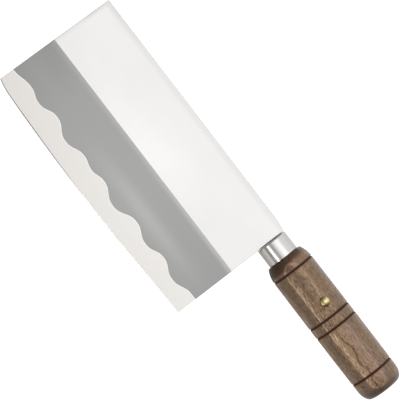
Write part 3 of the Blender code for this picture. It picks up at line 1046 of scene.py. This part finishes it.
def handle_stations():
    """Places along the handle from the shoulder to the butt's round, closer at the grooves."""
    face = WOOD_FRONT + FRONT_FACE_EASE
    stations = [face + step for step in spaced(0.0, SHOULDER_LENGTH, SHOULDER_STEPS)]
    start = stations[-1]
    end = WOOD_BACK - BUTT_DOME - BUTT_ROUND_LENGTH
    stations += spaced(start, end, round((end - start) / PROFILE_STEP))[1:]
    reach = GROOVE_WIDTH / 2 + GROOVE_LIP
    for place in groove_places():
        stations = [x for x in stations if abs(x - place) > reach]
        stations += [place + reach * math.sin(angle) for angle in quarter_turns(-1, 1)]
    return sorted(stations)


def handle_profile():
    """Tenon, eased front face, shoulder and barrel with their grooves, rounded butt."""
    profile = [(TENON_FRONT, 0.0), (TENON_FRONT, TENON_RADIUS), (WOOD_FRONT, TENON_RADIUS)]
    face_radius = shoulder_radius(WOOD_FRONT + FRONT_FACE_EASE)
    for angle in quarter_turns(0, 1, FACE_EASE_STEPS)[:-1]:
        x = WOOD_FRONT + FRONT_FACE_EASE * (1 - math.cos(angle))
        profile.append((x, face_radius - FRONT_FACE_EASE * (1 - math.sin(angle))))
    profile += [(x, shoulder_radius(x) - groove_cut(x)) for x in handle_stations()]
    round_end = WOOD_BACK - BUTT_DOME
    for angle in quarter_turns(1, 0, 2 * ARC_STEPS)[1:]:
        x = round_end - BUTT_ROUND_LENGTH * (1 - math.cos(angle))
        profile.append((x, barrel_radius(x) - BUTT_ROUND_DEPTH * (1 - math.sin(angle))))
    face_radius = profile[-1][1]
    for share in spaced(1.0, 0.0, DOME_STEPS)[1:]:
        profile.append((round_end + BUTT_DOME * (1 - share**2), face_radius * share))
    return profile


def rivet_profile():
    """Shank, head and dome, mirrored for the peened end."""
    rise = RIVET_TOP - RIVET_HEAD_BASE
    dome = [
        (RIVET_HEAD_BASE + rise * math.sin(angle), RIVET_HEAD_RADIUS * math.cos(angle))
        for angle in quarter_turns(0, 1)
    ]
    half = [(RIVET_HEAD_BASE, RIVET_SHANK_RADIUS)] + dome[:-1] + [(dome[-1][0], 0.0)]
    return [(-along, radius) for along, radius in reversed(half)] + half


def rivet_bore_profile():
    """The stepped hole through the handle: two spotfaces and the shank's hole."""
    outside = RIVET_TOP + RIVET_HEAD_RADIUS
    seat = RIVET_HEAD_BASE - RIVET_CLEARANCE
    head = RIVET_HEAD_RADIUS + RIVET_CLEARANCE
    half = [(seat, RIVET_HOLE_RADIUS), (seat, head), (outside, head), (outside, 0.0)]
    return [(-along, radius) for along, radius in reversed(half)] + half


def moved_to_rivet(shape):
    bmesh.ops.translate(shape, verts=shape.verts, vec=(RIVET_X, RIVET_Y, 0.0))
    return shape


def rivet_shape():
    """The rivet, its domes left slightly uneven by the hammer."""
    shape = turn(rivet_profile(), "Z", RIVET_SEGMENTS)
    for vertex in shape.verts:
        on_dome = min(1.0, max(0.0, (abs(vertex.co.z) - RIVET_HEAD_BASE) / PEENING_SIZE))
        bump = noise.noise(vertex.co / PEENING_SIZE)
        vertex.co.z -= math.copysign(PEENING_DEPTH * on_dome * (1 + bump), vertex.co.z)
    return moved_to_rivet(shape)


def mesh_from(name, shape, materials):
    """Turns a bmesh into a mesh with its faces pointing out, and frees the bmesh."""
    bmesh.ops.recalc_face_normals(shape, faces=shape.faces)
    mesh = bpy.data.meshes.new(name)
    for material in materials:
        mesh.materials.append(material)
    shape.to_mesh(mesh)
    shape.free()
    return mesh


def linked(name, mesh):
    obj = bpy.data.objects.new(name, mesh)
    bpy.context.scene.collection.objects.link(obj)
    return obj


def combined(mesh, others):
    """The mesh after its unions and differences with others, given as (operation, mesh)."""
    target = linked("shaping", mesh)
    helpers = []
    for operation, other in others:
        helpers.append(linked("shaping_helper", other))
        boolean = target.modifiers.new(operation, "BOOLEAN")
        boolean.operation = operation
        boolean.solver = "EXACT"
        boolean.object = helpers[-1]
    graph = bpy.context.evaluated_depsgraph_get()
    result = bpy.data.meshes.new_from_object(target.evaluated_get(graph))
    for obj in [target] + helpers:
        bpy.data.objects.remove(obj)
    return result


def write_attribute(mesh, name, kind, values):
    attribute = mesh.attributes.new(name, kind, "POINT")
    key = "vector" if kind == "FLOAT_VECTOR" else "value"
    attribute.data.foreach_set(key, values)


def lay_piece(name, mesh, node, sharp_angle):
    places = [value for vertex in mesh.vertices for value in vertex.co]
    write_attribute(mesh, "knife_axes", "FLOAT_VECTOR", places)
    mesh.shade_smooth()
    mesh.set_sharp_from_angle(angle=math.radians(sharp_angle))
    mesh.transform(KNIFE)
    mesh.name = name
    piece = linked(name, mesh)
    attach(piece, "root")
    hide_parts(node)


def make_blade():
    materials = [cheek_steel(), band_steel(), strip_steel(), edge_steel(), ground_steel()]
    blade = mesh_from("dressed_blade", blade_shape(), materials)
    tang = mesh_from("tang", tang_shape(-TANG_IN_BLADE, 0.0), materials)
    reach = SPINE_THICKNESS
    radius = RIVET_HOLE_RADIUS
    hole = [(-reach, 0.0), (-reach, radius), (reach, radius), (reach, 0.0)]
    drill = mesh_from("tang_drill", moved_to_rivet(turn(hole, "Z", RIVET_SEGMENTS)), materials)
    mesh = combined(blade, [("UNION", tang), ("DIFFERENCE", drill)])
    below_bevel = []
    above_wave = []
    for vertex in mesh.vertices:
        x, y, _ = vertex.co
        below_bevel.append(spine_line(x) - BEVEL_BELOW_SPINE - y)
        above_wave.append(y - wave_at(x))
    write_attribute(mesh, "below_bevel", "FLOAT", below_bevel)
    write_attribute(mesh, "above_wave", "FLOAT", above_wave)
    lay_piece("dressed_blade", mesh, "blade", SHARP_BLADE)


def make_ferrule():
    mesh = mesh_from("sleeve", turn(ferrule_profile(), "X", TURNED_SEGMENTS), [ferrule_steel()])
    lay_piece("dressed_ferrule", mesh, "ferrule", SHARP_TURNED)


def make_fill():
    materials = [dark_resin()]
    fill = mesh_from("filler", turn(fill_profile(), "X", TURNED_SEGMENTS), materials)
    slot = mesh_from("filler_slot", tang_shape(-TANG_IN_BLADE, RIVET_CLEARANCE), materials)
    mesh = combined(fill, [("DIFFERENCE", slot)])
    lay_piece("dressed_fill", mesh, "ferrule_fill", SHARP_TURNED)


def make_handle():
    materials = [walnut()]
    handle = mesh_from("turning", turn(handle_profile(), "X", TURNED_SEGMENTS), materials)
    slot = mesh_from("tang_slot", tang_shape(-TANG_IN_BLADE, RIVET_CLEARANCE), materials)
    bore_shape = moved_to_rivet(turn(rivet_bore_profile(), "Z", RIVET_SEGMENTS))
    bore = mesh_from("rivet_bore", bore_shape, materials)
    mesh = combined(handle, [("DIFFERENCE", slot), ("DIFFERENCE", bore)])
    lay_piece("dressed_handle", mesh, "handle", SHARP_TURNED)


def make_rivet():
    mesh = mesh_from("peened", rivet_shape(), [rivet_brass()])
    lay_piece("dressed_rivet", mesh, "rivet", SHARP_RIVET)


def studio_floor():
    """A pale sheet lit from below, so that the knife's shadow fades into it. To all but camera rays it
    glows dimmer close to the knife and on the edge side, a painted shadow.
    """
    shape = bmesh.new()
    bmesh.ops.create_grid(shape, x_segments=1, y_segments=1, size=SHEET_HALF_SIZE)
    nodes = new_material("pale_sheet")
    path = nodes.add("ShaderNodeLightPath", {})
    seen = path.outputs["Is Camera Ray"]
    _, across, _ = nodes.parts(nodes.add("ShaderNodeNewGeometry", {}).outputs["Position"])
    # Painted shadow: the glow that other rays see is dimmer close to the knife and on the edge side
    edge_side = nodes.slope(across, *SHEET_EDGE_SPAN, SHEET_GLOW_IN_KNIFE_SHADOW, SHEET_GLOW_EDGE_SIDE)
    spine_side = nodes.step(across, *SHEET_SPINE_SPAN)
    unseen = nodes.slope(spine_side, 0.0, 1.0, edge_side, SHEET_GLOW_SPINE_SIDE)
    tint = nodes.mix(spine_side, (*WARM_TINT, 1.0), grey(1.0))
    tint = nodes.mix(seen, tint, grey(1.0))
    strength = nodes.slope(seen, 0.0, 1.0, unseen, 1.0)
    glow = nodes.add("ShaderNodeEmission", {0: tint, 1: strength})
    paper = nodes.add("ShaderNodeBsdfDiffuse", {0: grey(SHEET_PAPER)})
    sheet = nodes.add("ShaderNodeAddShader", {0: glow.outputs[0], 1: paper.outputs[0]})
    clear = nodes.add("ShaderNodeBsdfTransparent", {})
    side = nodes.add("ShaderNodeNewGeometry", {}).outputs["Backfacing"]
    mixed = nodes.add("ShaderNodeMixShader", {0: side, 1: sheet.outputs[0], 2: clear.outputs[0]})
    nodes.add("ShaderNodeOutputMaterial", {0: mixed.outputs[0]})
    floor = linked("studio_floor", mesh_from("studio_floor", shape, [nodes.owner]))


def studio_sky():
    """A white room whose brightness changes round the knife's long axis and falls off at its ends."""
    world = bpy.data.worlds.new("studio")
    bpy.context.scene.world = world
    nodes = Nodes(world)
    direction = nodes.add("ShaderNodeTexCoord", {}).outputs["Generated"]
    x, y, z = nodes.parts(direction)
    turns = nodes.math("DIVIDE", nodes.math("ARCTAN2", y, z), math.tau)
    stops = []
    for degrees, value in SKY:
        tint = WARM_TINT if degrees < WARM_FROM else (1.0, 1.0, 1.0)
        stops.append((degrees / 360 + 0.5, (*(value * share for share in tint), 1.0)))
    around = nodes.ramp(nodes.plus(turns, 0.5), stops)
    towards_end = nodes.step(nodes.math("ABSOLUTE", x), *ENDS_SPAN)
    light = nodes.mix(towards_end, around, grey(ENDS_BRIGHTNESS))
    seen = nodes.add("ShaderNodeLightPath", {}).outputs["Is Camera Ray"]
    colour = nodes.mix(seen, light, grey(1.0))
    background = nodes.add("ShaderNodeBackground", {0: colour, 1: 1.0})
    nodes.add("ShaderNodeOutputWorld", {0: background.outputs[0]})


def strip_light():
    """A rectangular light along the handle, turned to face it, that cameras don't see."""
    light = bpy.data.lights.new("strip_light", "AREA")
    light.shape = "RECTANGLE"
    light.size = STRIP_LENGTH
    light.size_y = STRIP_WIDTH
    light.energy = STRIP_RADIANCE * math.pi * STRIP_LENGTH * STRIP_WIDTH
    light.color = STRIP_TINT
    lamp = bpy.data.objects.new("strip_light", light)
    bpy.context.scene.collection.objects.link(lamp)
    lamp.visible_camera = False
    tilt = math.radians(STRIP_ANGLE)
    middle = STRIP_START + STRIP_LENGTH / 2
    place = Vector((middle, STRIP_DISTANCE * math.sin(tilt), STRIP_DISTANCE * math.cos(tilt)))
    lamp.matrix_world = KNIFE @ Matrix.Translation(place) @ Matrix.Rotation(-tilt, 4, "X")


def make_camera():
    """Straight over the blade's left face, turned so that the knife lies as in the photograph."""
    camera = bpy.data.cameras.new("camera")
    camera.sensor_width = SENSOR_WIDTH
    camera.lens = SENSOR_WIDTH * CAMERA_DISTANCE / FIELD_WIDTH
    camera.clip_start, camera.clip_end = CAMERA_CLIP
    stand = bpy.data.objects.new("camera", camera)
    bpy.context.scene.collection.objects.link(stand)
    place = Matrix.Translation((*CAMERA_OVER, CAMERA_DISTANCE))
    stand.matrix_world = KNIFE @ place @ Matrix.Rotation(math.radians(CAMERA_TURN), 4, "Z")
    bpy.context.scene.camera = stand


make_blade()
make_ferrule()
make_fill()
make_handle()
make_rivet()
studio_floor()
studio_sky()
strip_light()
make_camera()
bpy.context.scene.view_settings.view_transform = "Standard"
